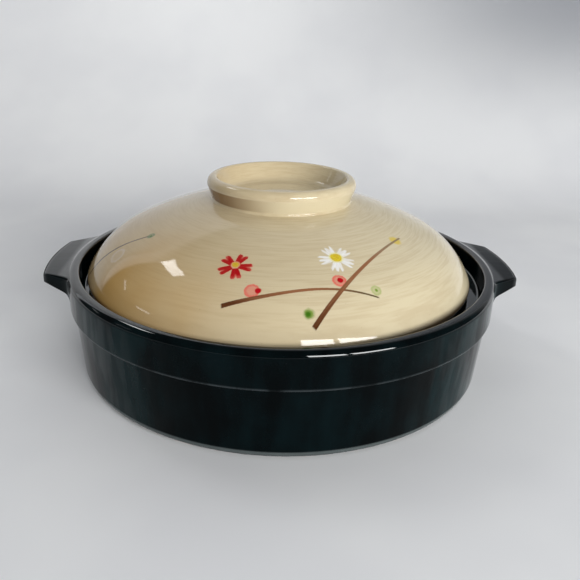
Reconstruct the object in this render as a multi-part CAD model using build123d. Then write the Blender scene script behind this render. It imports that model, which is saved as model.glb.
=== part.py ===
from build123d import *
import math
import os

# Donabe: a shallow black clay pot with two shelf lugs and a loose domed lid with a ring knob.
# Millimetres, +Z up, +X through the lugs, origin on the table under the middle of the pot.

# Pot: collar and rim
rim_height = 64.4
rim_inner_radius = 128.0
rim_width = 6.5
rim_outer_round = 3.6
rim_inner_round = 1.2
collar_height = 21.4
collar_flare = 0.2
collar_edge_round = 1.2

# Pot: wall, floor and foot ring
step_in = 2.3
step_root_round = 0.8
wall_taper = 3.0
wall_thickness = 11.0
foot_corner_round = 5.0
foot_ring_width = 12.0
foot_recess = 2.5
foot_slope = 3.0
foot_edge_round = 1.0
floor_thickness = 8.0
floor_corner_round = 16.0
inner_taper = 2.0

# Pot: gallery that carries the lid
seat_depth = 11.4
seat_width = 15.0
seat_draft = 2.0
seat_root_round = 1.6
seat_lip_thickness = 7.0
seat_lip_round = 1.5
seat_lip_draft = 0.6
seat_brace_height = 9.0
seat_brace_round = 8.0

# Lid: shell of three tangent arcs, crown, shoulder and edge, with shares of the lid's radius
lid_clearance = 4.5
lid_rest_share = 0.42
lid_height_share = 0.452
crown_share = 1.794
shoulder_share = 0.453
lid_edge_round = 5.0
lid_thickness = 6.0
inner_shoulder_radius = 42.0
lid_rim_width = 9.0
lid_mouth_round = 0.8

# Lid: steam vent at the back
vent_radius = 4.0
vent_offset = 80.0
vent_edge_round = 0.8

# Knob: ring on the crown
knob_rise = 9.6
knob_outer_radius = 46.5
knob_wall = 5.9
knob_lip_round = 2.9
knob_bead_height = 5.0
knob_bead_round = 0.9
knob_waist = 2.9
knob_flare = 0.9
knob_flare_height = 1.2
knob_flare_round = 1.6
knob_toe_width = 8.5
knob_toe_height = 0.6
knob_bowl_round = 8.0

# Lugs: level with the rim, a wedge in section
lug_reach = 14.2
lug_width = 61.5
lug_root_width = 83.0
lug_drop = 1.2
lug_fall = 1.2
lug_tip_thickness = 5.2
lug_root_thickness = 12.2
lug_corner_round = 2.0
lug_root_fillet = 9.0
lug_edge_round = 1.2
# Share of a root fillet's width that is kept, and the slope below which an edge counts as level
root_share = 0.5
level_share = 0.7

# Overrun of cutting bodies past the faces that they cut
overrun = 5.0

# Places worked out from the sizes above
collar_top_radius = rim_inner_radius + rim_width
collar_foot_radius = collar_top_radius + collar_flare
collar_foot_z = rim_height - collar_height
wall_top_radius = collar_foot_radius - step_in
wall_foot_radius = wall_top_radius - wall_taper
floor_z = foot_recess + floor_thickness
seat_z = rim_height - seat_depth
seat_outer_radius = rim_inner_radius - seat_draft
seat_inner_radius = seat_outer_radius - seat_width
inner_wall_radius = wall_top_radius - wall_thickness

lid_radius = seat_outer_radius - lid_clearance
lid_mouth_radius = lid_radius - lid_rim_width
lid_shift = lid_clearance * lid_rest_share
lid_height = lid_radius * lid_height_share
crown_radius = lid_radius * crown_share
shoulder_radius = lid_radius * shoulder_share
crown_centre = Vector(0, seat_z + lid_height - crown_radius)


# Upright plane in which outlines of radius and height are drawn, with its radii to the front
profile_plane = Plane(origin=(0, 0, 0), x_dir=(0, -1, 0), z_dir=(-1, 0, 0))


def ring_profile(outline):
    """Turn a closed outline of radius and height into a solid about the Z axis."""
    return revolve(profile_plane * make_face(outline), Axis.Z)


def arc_about(centre, radius, start, end):
    """Arc about a centre from one point to another, the short way round."""
    first = math.atan2(start.Y - centre.Y, start.X - centre.X)
    last = math.atan2(end.Y - centre.Y, end.X - centre.X)
    middle = (first + last) / 2
    return ThreePointArc(start, centre + Vector(math.cos(middle), math.sin(middle)) * radius, end)


def tangent_centre(outer_centre, outer_distance, inner_centre, inner_distance):
    """Outer one of the two points at the given distances from two centres."""
    span = inner_centre - outer_centre
    along = (outer_distance**2 - inner_distance**2 + span.length**2) / (2 * span.length)
    aside = math.sqrt(outer_distance**2 - along**2)
    direction = span.normalized()
    normal = Vector(-direction.Y, direction.X)
    return outer_centre + direction * along + normal * aside


def crown_height_at(radius):
    """Height of the outer face of the crown at a radius."""
    return crown_centre.Y + math.sqrt(crown_radius**2 - radius**2)


# Pot bowl: one thrown piece from the foot ring to the gallery
def make_pot_bowl():
    foot_inner_radius = wall_foot_radius - foot_corner_round - foot_ring_width
    corners = [
        ((foot_inner_radius - foot_slope, foot_recess), foot_edge_round),
        ((foot_inner_radius, 0), foot_edge_round),
        ((wall_foot_radius, 0), foot_corner_round),
        ((wall_top_radius, collar_foot_z), step_root_round),
        ((collar_foot_radius, collar_foot_z), collar_edge_round),
        ((collar_top_radius, rim_height), rim_outer_round),
        ((rim_inner_radius, rim_height), rim_inner_round),
        ((seat_outer_radius, seat_z), seat_root_round),
        ((seat_inner_radius, seat_z), seat_lip_round),
        ((seat_inner_radius + seat_lip_draft, seat_z - seat_lip_thickness), seat_lip_round),
        ((inner_wall_radius, seat_z - seat_lip_thickness - seat_brace_height), seat_brace_round),
        ((inner_wall_radius - inner_taper, floor_z), floor_corner_round),
    ]
    underside = (0, foot_recess)
    floor = (0, floor_z)
    points = [underside] + [point for point, _ in corners] + [floor]
    skin = FilletPolyline(*points, radius=[radius for _, radius in corners])
    return ring_profile(skin + Line(floor, underside))


# Lug: a sector of a wedge-shaped flange, filleted into the collar in plan
def make_lug(bowl, side):
    root_radius = rim_inner_radius + rim_width / 2
    tip_radius = collar_top_radius + lug_reach
    top_z = rim_height - lug_drop
    tip_top_z = top_z - lug_fall
    wedge = Polyline(
        (root_radius, top_z - lug_root_thickness),
        (tip_radius, tip_top_z - lug_tip_thickness),
        (tip_radius, tip_top_z),
        (root_radius, top_z),
        close=True,
    )
    lug = ring_profile(wedge) & extrude(lug_plan(root_radius, tip_radius), amount=rim_height)
    lug = fillet([edge for edge in lug.edges() if is_lug_rim(edge)], lug_edge_round)
    if side < 0:
        lug = mirror(lug, Plane.YZ)
    return lug - bowl


def lug_plan(root_radius, tip_radius):
    """Outline of a lug seen from above, flared to its root and filleted into the collar."""
    root = Vector(math.sqrt(collar_top_radius**2 - (lug_root_width / 2) ** 2), lug_root_width / 2)
    tip = Vector(math.sqrt(tip_radius**2 - (lug_width / 2) ** 2), lug_width / 2)
    flank = (tip - root).normalized()
    outward = Vector(-flank.Y, flank.X)
    start = root + outward * lug_root_fillet
    reach = collar_top_radius + lug_root_fillet
    slide = math.sqrt(start.dot(flank) ** 2 + reach**2 - start.length**2) - start.dot(flank)
    centre = start + flank * slide
    collar_end = centre * (collar_top_radius / reach)
    flank_end = centre - outward * lug_root_fillet
    inner_end = centre * (root_radius / reach)
    upper = (
        Line(inner_end, collar_end)
        + arc_about(centre, lug_root_fillet, collar_end, flank_end)
        + Line(flank_end, tip)
    )
    outline = (
        upper
        + ThreePointArc(tip, (tip_radius, 0), (tip.X, -tip.Y))
        + mirror(upper, Plane.XZ)
        + ThreePointArc(inner_end, (root_radius, 0), (inner_end.X, -inner_end.Y))
    )
    plan = make_face(outline)
    plan = fillet(plan.vertices().group_by(Axis.X)[-1], lug_corner_round)
    window_width = lug_root_width + 2 * (collar_end.Y - root.Y) * root_share
    return plan & Pos(tip_radius, 0) * Rectangle(tip_radius, window_width)


def is_lug_rim(edge):
    """Whether an edge of the lug borders its top or underside outside the collar."""
    middle = edge.position_at(0.5)
    outside = math.hypot(middle.X, middle.Y) > collar_top_radius
    return outside and abs(edge.tangent_at(0.5).Z) < level_share


# Lid dome: crown, shoulder and edge arcs outside, a thicker rim inside
def make_lid_dome():
    edge_centre = Vector(lid_radius - lid_edge_round, seat_z + lid_edge_round)
    shoulder_centre = tangent_centre(
        crown_centre, crown_radius - shoulder_radius, edge_centre, shoulder_radius - lid_edge_round
    )
    apex = Vector(0, crown_centre.Y + crown_radius)
    crown_end = crown_centre + (shoulder_centre - crown_centre).normalized() * crown_radius
    edge_start = shoulder_centre + (edge_centre - shoulder_centre).normalized() * shoulder_radius
    foot_outer = Vector(edge_centre.X, seat_z)

    inner_crown_radius = crown_radius - lid_thickness
    inner_across = lid_mouth_radius - inner_shoulder_radius
    inner_up = math.sqrt((inner_crown_radius - inner_shoulder_radius) ** 2 - inner_across**2)
    inner_centre = crown_centre + Vector(inner_across, inner_up)
    inner_apex = Vector(0, crown_centre.Y + inner_crown_radius)
    inner_crown_end = crown_centre + (inner_centre - crown_centre).normalized() * inner_crown_radius
    mouth_rise = seat_z + lid_mouth_round - inner_centre.Y
    mouth_top = inner_centre + Vector(math.sqrt(inner_shoulder_radius**2 - mouth_rise**2), mouth_rise)
    foot_inner = Vector(mouth_top.X + lid_mouth_round, seat_z)

    outline = (
        arc_about(crown_centre, crown_radius, apex, crown_end)
        + arc_about(shoulder_centre, shoulder_radius, crown_end, edge_start)
        + arc_about(edge_centre, lid_edge_round, edge_start, foot_outer)
        + Line(foot_outer, foot_inner)
        + Line(foot_inner, mouth_top)
        + arc_about(inner_centre, inner_shoulder_radius, mouth_top, inner_crown_end)
        + arc_about(crown_centre, inner_crown_radius, inner_crown_end, inner_apex)
        + Line(inner_apex, apex)
    )
    dome = ring_profile(outline)
    vent = Pos(0, vent_offset, seat_z) * extrude(Circle(vent_radius), amount=lid_height + overrun)
    dome = dome - vent
    mouths = [edge for edge in dome.edges() if abs(edge.center().Y - vent_offset) < vent_radius]
    return Pos(-lid_shift, 0, 0) * fillet(mouths, vent_edge_round)


# Knob: ring with a beaded lip, waist and flared foot, seated on the crown
def make_lid_knob():
    crest_z = seat_z + lid_height + knob_rise
    inner_radius = knob_outer_radius - knob_wall
    toe_radius = inner_radius - knob_toe_width
    toe = Vector(toe_radius, crown_height_at(toe_radius))
    toe_top_z = toe.Y + knob_toe_height
    waist_radius = knob_outer_radius - knob_waist
    foot_radius = waist_radius + knob_flare
    foot = Vector(foot_radius, crown_height_at(foot_radius))
    corners = [
        (toe, None),
        ((toe_radius, toe_top_z), knob_toe_height / 2),
        ((inner_radius, toe_top_z), knob_bowl_round),
        ((inner_radius, crest_z), knob_lip_round),
        ((knob_outer_radius, crest_z), knob_lip_round),
        ((knob_outer_radius, crest_z - knob_bead_height), knob_bead_round),
        ((waist_radius, foot.Y + knob_flare_height), knob_flare_round),
        (foot, None),
    ]
    points = [point for point, _ in corners]
    skin = FilletPolyline(*points, radius=[radius for _, radius in corners[1:-1]])
    seat = arc_about(crown_centre, crown_radius, foot, toe)
    return Pos(-lid_shift, 0, 0) * ring_profile(skin + seat)


pot_bowl = make_pot_bowl()
pieces = {
    "pot_bowl": pot_bowl,
    "handle_left": make_lug(pot_bowl, -1),
    "handle_right": make_lug(pot_bowl, 1),
    "lid_dome": make_lid_dome(),
    "lid_knob": make_lid_knob(),
}

os.makedirs("parts", exist_ok=True)
for name, piece in pieces.items():
    piece.label = name
    export_step(piece, f"parts/{name}.step")
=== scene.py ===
"""Dresses the packed clay pot: turned bowl and lid, lugs, glazes and painted sprays."""
import logging
import math
from collections.abc import Iterator, Mapping, Sequence
from contextlib import contextmanager
from dataclasses import dataclass, field
from enum import Enum

import bpy
from mathutils import Matrix, Vector


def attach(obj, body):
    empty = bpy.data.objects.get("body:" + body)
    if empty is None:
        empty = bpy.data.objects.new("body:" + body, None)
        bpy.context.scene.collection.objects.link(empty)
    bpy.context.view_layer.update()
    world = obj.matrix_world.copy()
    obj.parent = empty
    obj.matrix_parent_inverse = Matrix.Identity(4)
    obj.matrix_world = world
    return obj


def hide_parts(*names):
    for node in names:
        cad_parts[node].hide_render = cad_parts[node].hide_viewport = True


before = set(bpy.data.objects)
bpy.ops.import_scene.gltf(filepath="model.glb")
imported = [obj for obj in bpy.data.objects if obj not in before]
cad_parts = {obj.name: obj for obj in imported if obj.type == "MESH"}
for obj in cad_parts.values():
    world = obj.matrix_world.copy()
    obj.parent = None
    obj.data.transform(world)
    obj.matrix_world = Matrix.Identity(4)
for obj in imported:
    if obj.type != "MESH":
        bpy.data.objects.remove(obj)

log = logging.getLogger("donabe")

MM = 0.001

Point = tuple[float, float]
Colour = tuple[float, float, float, float]
Settings = Mapping[str, object] | None
Inputs = Mapping[str | int, object] | None


class Body(Enum):
    """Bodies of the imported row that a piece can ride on."""

    POT = "pot"
    LID = "lid"


class Slot(Enum):
    """Material slots of the record."""

    POT_GLAZE = "pot_glaze"
    LID_GLAZE = "lid_glaze"


class Side(Enum):
    """The two sides of the pot that carry a lug."""

    LEFT = "left"
    RIGHT = "right"


# Shader expressions


class Field:
    """A shader value on which Python's operators add Math nodes."""

    def __init__(self, graph: "Graph", socket: bpy.types.NodeSocket) -> None:
        """Keep the graph and the output socket that holds the value."""
        self.graph = graph
        self.socket = socket

    def __add__(self, other: "Term") -> "Field":
        """Sum of two values."""
        return self.graph.math("ADD", self, other)

    __radd__ = __add__

    def __sub__(self, other: "Term") -> "Field":
        """Difference of two values."""
        return self.graph.math("SUBTRACT", self, other)

    def __rsub__(self, other: "Term") -> "Field":
        """Difference with the value on the right."""
        return self.graph.math("SUBTRACT", other, self)

    def __mul__(self, other: "Term") -> "Field":
        """Product of two values."""
        return self.graph.math("MULTIPLY", self, other)

    __rmul__ = __mul__

    def __truediv__(self, other: "Term") -> "Field":
        """Quotient of two values."""
        return self.graph.math("DIVIDE", self, other)

    def __rtruediv__(self, other: "Term") -> "Field":
        """Quotient with the value below."""
        return self.graph.math("DIVIDE", other, self)

    def __abs__(self) -> "Field":
        """Value without its sign."""
        return self.graph.math("ABSOLUTE", self)

    def root(self) -> "Field":
        """Square root of the value."""
        return self.graph.math("SQRT", self)

    def ramp(self, start: float, end: float) -> "Field":
        """Smooth step of the value, 0 at start and 1 at end, also where end is the smaller."""
        smooth = {"interpolation_type": "SMOOTHSTEP"}
        return self.graph.read("MapRange", smooth, {0: self, 1: start, 2: end})

    def band(self, low: float, full_low: float, full_high: float, high: float) -> "Field":
        """Smooth band of the value, 1 between its full ends and 0 below low and above high."""
        return self.ramp(low, full_low) * self.ramp(high, full_high)


Term = Field | float


class Graph:
    """The node tree of one material or of the world, written as expressions."""

    def __init__(self, owner: bpy.types.Material | bpy.types.World) -> None:
        """Empty the node tree of a material or world.

        Args:
            owner: what the tree belongs to.
        """
        owner.use_nodes = True
        self.tree = owner.node_tree
        self.tree.nodes.clear()

    def node(self, kind: str, settings: Settings = None, inputs: Inputs = None) -> bpy.types.Node:
        """Add a node, set it up and feed its sockets.

        Args:
            kind: the node's type without its ShaderNode prefix.
            settings: attributes of the node, which are set first.
            inputs: values or fields by socket name or number.

        Returns:
            The new node.
        """
        made = self.tree.nodes.new("ShaderNode" + kind)
        for name, value in (settings or {}).items():
            setattr(made, name, value)
        for name, value in (inputs or {}).items():
            if isinstance(value, Field):
                self.tree.links.new(value.socket, made.inputs[name])
            else:
                made.inputs[name].default_value = value
        return made

    def read(
        self, kind: str, settings: Settings = None, inputs: Inputs = None, output: int | str = 0
    ) -> Field:
        """One output of a new node, by its number or name."""
        return Field(self, self.node(kind, settings, inputs).outputs[output])

    def math(self, operation: str, *terms: Term) -> Field:
        """Math node on one to three terms."""
        return self.read("Math", {"operation": operation}, dict(enumerate(terms)))

    def mix(self, share: Term, under: Field | Colour, over: Field | Colour) -> Field:
        """Colour that goes from the one under, at a share of 0, to the one over, at 1."""
        return self.read("Mix", {"data_type": "RGBA"}, {0: share, 6: under, 7: over}, 2)

    def combine(self, x: Term, y: Term, z: Term) -> Field:
        """Vector of three values."""
        return self.read("CombineXYZ", None, {0: x, 1: y, 2: z})

    def separate(self, vector: Field) -> tuple[Field, ...]:
        """The three values of a vector."""
        made = self.node("SeparateXYZ", None, {0: vector})
        return tuple(Field(self, socket) for socket in made.outputs)

    def place(self, axis_x: float) -> Field:
        """Object coordinates in millimetres about an upright axis.

        Args:
            axis_x: place of the axis on X.

        Returns:
            The coordinate vector.
        """
        raw = self.read("TexCoord", output="Object")
        inputs = {"Vector": raw, "Location": (-axis_x, 0.0, 0.0), "Scale": (1 / MM,) * 3}
        return self.read("Mapping", {"vector_type": "POINT"}, inputs)

    def along(self, vector: Field, direction: Vector, origin: Vector) -> Field:
        """Distance of a point along a direction.

        Args:
            vector: the point's coordinates.
            direction: a unit vector.
            origin: where the distance is 0.

        Returns:
            The signed distance.
        """
        inputs = {0: vector, 1: tuple(direction)}
        reach = self.read("VectorMath", {"operation": "DOT_PRODUCT"}, inputs, "Value")
        return reach - direction.dot(origin)

    def distance(self, vector: Field, point: Vector) -> Field:
        """Distance of the shaded point from a fixed one."""
        inputs = {0: vector, 1: tuple(point)}
        return self.read("VectorMath", {"operation": "DISTANCE"}, inputs, "Value")

    def noise(self, vector: Field, scale: float, detail: float = 2.0) -> Field:
        """Smooth noise between 0 and 1, with a middle of a half."""
        return self.read("TexNoise", None, {"Vector": vector, "Scale": scale, "Detail": detail})

    def bump(self, height: Field, depth: float, onto: Field | None = None) -> Field:
        """Normal of a surface that a height field roughens.

        Args:
            height: the relief, between 0 and 1.
            depth: what a height of 1 stands for, in millimetres.
            onto: a normal that this relief is laid on.

        Returns:
            The normal.
        """
        inputs: dict[str | int, object] = {"Height": height, "Distance": depth * MM}
        if onto is not None:
            inputs["Normal"] = onto
        return self.read("Bump", None, inputs)

    def surface(self, shader: Field) -> None:
        """Send a shader to the material's output."""
        self.node("OutputMaterial", None, {"Surface": shader})


class TurnedPlace:
    """Where a shaded point lies on a turned piece, in millimetres about the piece's axis."""

    def __init__(self, graph: Graph, axis_x: float = 0.0) -> None:
        """Measure the point from an upright axis.

        Args:
            graph: the material's graph.
            axis_x: place of the axis on X.
        """
        self.graph = graph
        self.place = graph.place(axis_x)
        self.x, self.y, self.z = graph.separate(self.place)
        self.radius = (self.x * self.x + self.y * self.y).root()
        off_axis = self.radius + 0.5
        self.around_x, self.around_y = self.x / off_axis, self.y / off_axis
        self.up = graph.separate(graph.read("TexCoord", output="Normal"))[2]

    def streaks(self, turns: float, rise: Field, detail: float) -> Field:
        """Noise that changes with the direction from the axis and with a rise."""
        way = self.graph.combine(self.around_x * turns, self.around_y * turns, rise)
        return self.graph.noise(way, 1.0, detail)


def glossy_clay(
    graph: Graph,
    colour: Field,
    roughness: Field,
    normal: Field,
    ior: float,
    coat: Term = 0.0,
    tint: Colour = (1.0, 1.0, 1.0, 1.0),
) -> Field:
    """Shader of a glazed ceramic surface.

    Args:
        graph: the material's graph.
        colour: colour of the glaze and of bare clay.
        roughness: low on glaze and high on bare clay.
        normal: the surface normal with its relief.
        ior: refractive index, which sets how bright reflections are.
        coat: share of the surface that carries a second, clear skin.
        tint: colour of the reflections.

    Returns:
        The shader.
    """
    body = {"Base Color": colour, "Roughness": roughness, "Normal": normal}
    gleam = {"IOR": ior, "Specular Tint": tint}
    skin = {"Coat Weight": coat, "Coat Roughness": 0.04, "Coat IOR": 1.5}
    return graph.read("BsdfPrincipled", None, body | gleam | skin)


# Finishes


@dataclass(frozen=True)
class PotGlaze:
    """Black glaze with a blue-green cast, over clay bare on the foot; paler on its edges, where it
    runs thin and carries painted reflections.
    """

    deep: Colour = (0.0004, 0.0010, 0.0012, 1.0)
    green: Colour = (0.0014, 0.0055, 0.0066, 1.0)
    teal_runs_and_sheen: Colour = (0.0050, 0.0260, 0.0290, 1.0)
    # Pale line of the step's edge: painted reflection of the floor, on glaze that runs thin there.
    edge: Colour = (0.036, 0.044, 0.047, 1.0)
    # Brown of the rim's inner edge: painted reflection of the lid, on glaze that runs thin there.
    brown: Colour = (0.030, 0.024, 0.017, 1.0)
    # Pale line of the foot's round: painted reflection of the floor, on glaze that runs thin there.
    thinned_and_sheen: Colour = (0.095, 0.112, 0.112, 1.0)
    clay: Colour = (0.42, 0.30, 0.20, 1.0)
    clay_dark: Colour = (0.30, 0.20, 0.13, 1.0)
    tint: Colour = (0.86, 1.0, 1.04, 1.0)
    ior: float = 1.15
    gloss: float = 0.03
    clay_roughness: float = 0.80
    ripple_depth: float = 0.22
    grain_depth: float = 0.30
    skin_share: float = 0.86
    wall_share: float = 0.26
    gap_shade_share: float = 0.85
    left_lug_shade: float = 0.48
    right_lug_shade: float = 0.80
    glaze_line: float = 0.5
    well_radius: float = 116.0
    well_height: float = 4.0
    step_height: float = 43.0
    step_radius: float = 133.2
    rim_height: float = 64.4
    rim_inner: float = 128.0
    lug_start: float = 133.5

    def material(self) -> bpy.types.Material:
        """Build the black glaze.

        Returns:
            The material.
        """
        material = bpy.data.materials.new("black_glaze")
        graph = Graph(material)
        spot = TurnedPlace(graph)
        grain = graph.noise(spot.place, 0.9, 5.0)
        clay = graph.mix(grain.ramp(0.35, 0.65), self.clay_dark, self.clay)
        bare = self.bare_share(spot)
        colour = graph.mix(bare, self.glaze_colour(spot), clay)
        ripple = graph.noise(spot.place, 0.045, 1.0) * 0.6 + graph.noise(spot.place, 0.30) * 0.08
        runs = spot.streaks(20.0, spot.z * 0.02, 2.0) * 0.40
        skin = graph.bump(ripple + runs, self.ripple_depth)
        normal = graph.bump(grain * bare, self.grain_depth, skin)
        uneven = graph.noise(spot.place, 0.2, 3.0) * 0.04
        roughness = self.gloss + uneven + bare * self.clay_roughness
        coat = self.skin(spot) * (1.0 - bare)
        glaze = glossy_clay(graph, colour, roughness, normal, self.ior, coat, self.tint)
        # Flat black diffuse laid inside the rim as painted shade in the gap under the lid.
        gap_shade = graph.read("BsdfDiffuse", None, {"Color": self.deep})
        graph.surface(graph.read("MixShader", None, {0: self.gap_shade_mask(spot), 1: glaze, 2: gap_shade}))
        return material

    def glaze_colour(self, spot: TurnedPlace) -> Field:
        """Colour of the glaze: black, greener in clouds, with painted reflections: teal on the
        flanks, paler or brown on its thin edges.

        Args:
            spot: place on the pot.

        Returns:
            The colour.
        """
        graph, radius, z = spot.graph, spot.radius, spot.z
        clouds = graph.noise(spot.place, 0.030, 4.0)
        streaks = spot.streaks(11.0, z * 0.018, 4.0)
        colour = graph.mix((clouds * 0.7 + streaks * 0.6).ramp(0.50, 0.85), self.deep, self.green)
        # Teal runs of the glaze, laid only on the flanks that look left and right, as a painted
        # reflection.
        curtain = (clouds * 0.5 + streaks * 0.6).ramp(0.40, 0.70)
        colour = graph.mix(self.flank(spot) * curtain * 0.8, colour, self.teal_runs_and_sheen)
        low, top = self.step_height, self.rim_height
        # Pale line on the collar's step edge: painted reflection of the floor, on glaze that runs
        # thin there.
        step = z.band(low - 0.3, low, low + 0.9, low + 2.0)
        paled = step * radius.ramp(self.step_radius, self.step_radius + 0.6)
        colour = graph.mix(paled * streaks.ramp(0.25, 0.55) * 0.9, colour, self.edge)
        # Pale line on the foot's round: painted reflection of the floor, on glaze that runs thin
        # there.
        toe = z.band(1.2, 2.2, 4.2, 5.4)
        toe = toe * radius.ramp(self.well_radius + 6.0, self.well_radius + 9.0)
        colour = graph.mix(toe * (0.6 + streaks * 0.5), colour, self.thinned_and_sheen)
        # Brown on the rim's inner edge: painted reflection of the lid, on glaze that runs thin
        # there.
        lip = radius.ramp(self.rim_inner + 1.6, self.rim_inner + 0.3) * z.ramp(top - 2.4, top - 0.6)
        return graph.mix(lip * streaks.ramp(0.2, 0.5), colour, self.brown)

    def flank(self, spot: TurnedPlace) -> Field:
        """Share of the wall that looks left or right, off the lugs and the rim.

        Args:
            spot: place on the pot.

        Returns:
            The share, between 0 and 1.
        """
        sides = abs(spot.around_x).ramp(0.35, 0.95)
        off_lugs = spot.radius.ramp(self.lug_start + 2.6, self.lug_start + 1.6)
        return sides * off_lugs * spot.z.ramp(self.rim_height - 2.6, self.rim_height - 4.2)

    def bare_share(self, spot: TurnedPlace) -> Field:
        """Share that is bare clay: the foot ring up to a ragged line, and the well inside it.

        Args:
            spot: place on the pot.

        Returns:
            The share, between 0 and 1.
        """
        ragged = spot.z + spot.graph.noise(spot.place, 0.12, 3.0) * 1.2
        foot = ragged.ramp(self.glaze_line + 0.5, self.glaze_line + 0.3)
        well = spot.radius.ramp(self.well_radius + 0.3, self.well_radius)
        well = well * spot.z.ramp(self.well_height, self.well_height - 0.3)
        return spot.graph.math("MAXIMUM", foot, well)

    def skin(self, spot: TurnedPlace) -> Field:
        """Share of clear skin: most on faces that look up, in curtains on the flanks.

        Args:
            spot: place on the pot.

        Returns:
            The share, between 0 and 1.
        """
        start, up = self.lug_start, spot.up
        left = spot.x.ramp(-start, -start - 4.0) * self.left_lug_shade
        right = spot.x.ramp(start, start + 4.0) * self.right_lug_shade
        lug_tops = up.ramp(0.84, 0.98) * (left + right)
        curtains = spot.streaks(18.0, spot.z * 0.03, 3.0).ramp(0.42, 0.62)
        wall = up.ramp(0.10, 0.0) * curtains * self.flank(spot) * self.wall_share
        return up.ramp(0.10, 0.40) * self.skin_share - lug_tops + wall

    def gap_shade_mask(self, spot: TurnedPlace) -> Field:
        """Share of painted shade: flat black on the upright inside of the rim, down to the gallery.

        Args:
            spot: place on the pot.

        Returns:
            The share, between 0 and 1.
        """
        inside = spot.radius.ramp(self.rim_inner + 0.4, self.rim_inner - 0.2)
        inside = inside * spot.z.ramp(self.rim_height - 0.6, self.rim_height - 2.0)
        inside = inside * spot.z.ramp(self.step_height, self.step_height + 5.0)
        return inside * spot.up.ramp(0.7, 0.3) * self.gap_shade_share


@dataclass(frozen=True)
class DomeShape:
    """Outer face of the lid as crown and shoulder arcs, in millimetres about the lid's axis."""

    axis_x: float = -1.89
    crown_radius: float = 217.97
    crown_centre: Point = (0.0, -110.052)
    shoulder_radius: float = 55.04
    shoulder_centre: Point = (71.350, 36.424)
    crown_end: float = 95.453
    edge_start: float = 121.011

    def height(self, radius: float) -> float:
        """Height of the outer face at a radius."""
        across, middle = self._centre(radius)
        return middle + math.sqrt(self._arc(radius) ** 2 - (radius - across) ** 2)

    def _arc(self, radius: float) -> float:
        """Radius of the arc that holds a radius of the lid."""
        return self.crown_radius if radius < self.crown_end else self.shoulder_radius

    def _centre(self, radius: float) -> Point:
        """Centre of the arc that holds a radius of the lid."""
        return self.crown_centre if radius < self.crown_end else self.shoulder_centre

    def tangent_frame(self, azimuth: float, radius: float) -> tuple[Vector, Vector, Vector]:
        """Point on the face with its level and its downhill direction.

        Args:
            azimuth: direction from the axis, in degrees from +X.
            radius: distance from the axis.

        Returns:
            The point, the unit vector across the slope and the unit vector down it.
        """
        centre, arc = self._centre(radius), self._arc(radius)
        height = self.height(radius)
        slope_out, slope_up = (radius - centre[0]) / arc, (height - centre[1]) / arc
        angle = math.radians(azimuth)
        out = Vector((math.cos(angle), math.sin(angle), 0.0))
        point = out * radius + Vector((0.0, 0.0, height))
        across = Vector((-math.sin(angle), math.cos(angle), 0.0))
        return point, across, out * slope_up - Vector((0.0, 0.0, slope_out))


@dataclass(frozen=True)
class Ground:
    """What a painted motif needs: the graph, the place on the lid and the brush's unevenness."""

    graph: Graph
    dome: DomeShape
    place: Field
    outside: Field
    wobble: Field
    bristle: Field

    def plane(self, azimuth: float, radius: float) -> tuple[Field, Field]:
        """Distances across and down the slope from a spot on the lid.

        Args:
            azimuth: direction of the spot from the axis, in degrees from +X.
            radius: its distance from the axis.

        Returns:
            Both distances.
        """
        point, across, down = self.dome.tangent_frame(azimuth, radius)
        along = self.graph.along
        return along(self.place, across, point), along(self.place, down, point)


@dataclass(frozen=True)
class Twig:
    """One brown stroke that bends along a circle and thins from its start to its end."""

    azimuth: float
    radius: float
    start: Point
    end: Point
    bow: float
    thick: float
    thin: float
    strength: float = 1.0
    dark: Colour = (0.075, 0.022, 0.006, 1.0)
    light: Colour = (0.275, 0.115, 0.052, 1.0)
    tip: Colour = (0.110, 0.075, 0.036, 1.0)
    lean: float = 0.0

    def paint(self, ground: Ground, under: Field) -> Field:
        """Lay the stroke over a colour.

        Args:
            ground: the lid's surface.
            under: the colour below.

        Returns:
            The colour with the stroke on it.
        """
        graph = ground.graph
        across, down = ground.plane(self.azimuth, self.radius)
        start, end = Vector(self.start), Vector(self.end)
        length = (end - start).length
        direction = (end - start) / length
        normal = Vector((-direction.y, direction.x))
        arc = (length**2 / 4 + self.bow**2) / (2 * abs(self.bow))
        centre = (start + end) / 2 + normal * (self.bow - math.copysign(arc, self.bow))
        along = ((across - start.x) * direction.x + (down - start.y) * direction.y) / length
        from_x, from_y = across - centre.x, down - centre.y
        aside = (from_x * from_x + from_y * from_y).root() - arc
        aside = aside + graph.math("SINE", along * math.tau) * self.lean
        half = self.thick / 2 + along * ((self.thin - self.thick) / 2)
        edge = (half + (ground.bristle - 0.5) * 0.3 - abs(aside)).ramp(-0.16, 0.16)
        ends = along.band(-0.006, 0.006, 0.985, 1.004)
        hairs = graph.noise(graph.combine(along * 7.0, aside * 2.4, self.azimuth), 1.0)
        tone = graph.mix((along * 1.8 + hairs * 0.9).ramp(0.25, 1.30), self.dark, self.light)
        tone = graph.mix(along.ramp(0.55, 0.95), tone, self.tip)
        cover = edge * ends * ground.outside * (self.strength - hairs.ramp(0.5, 0.8) * 0.12)
        return graph.mix(cover, under, tone)


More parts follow.
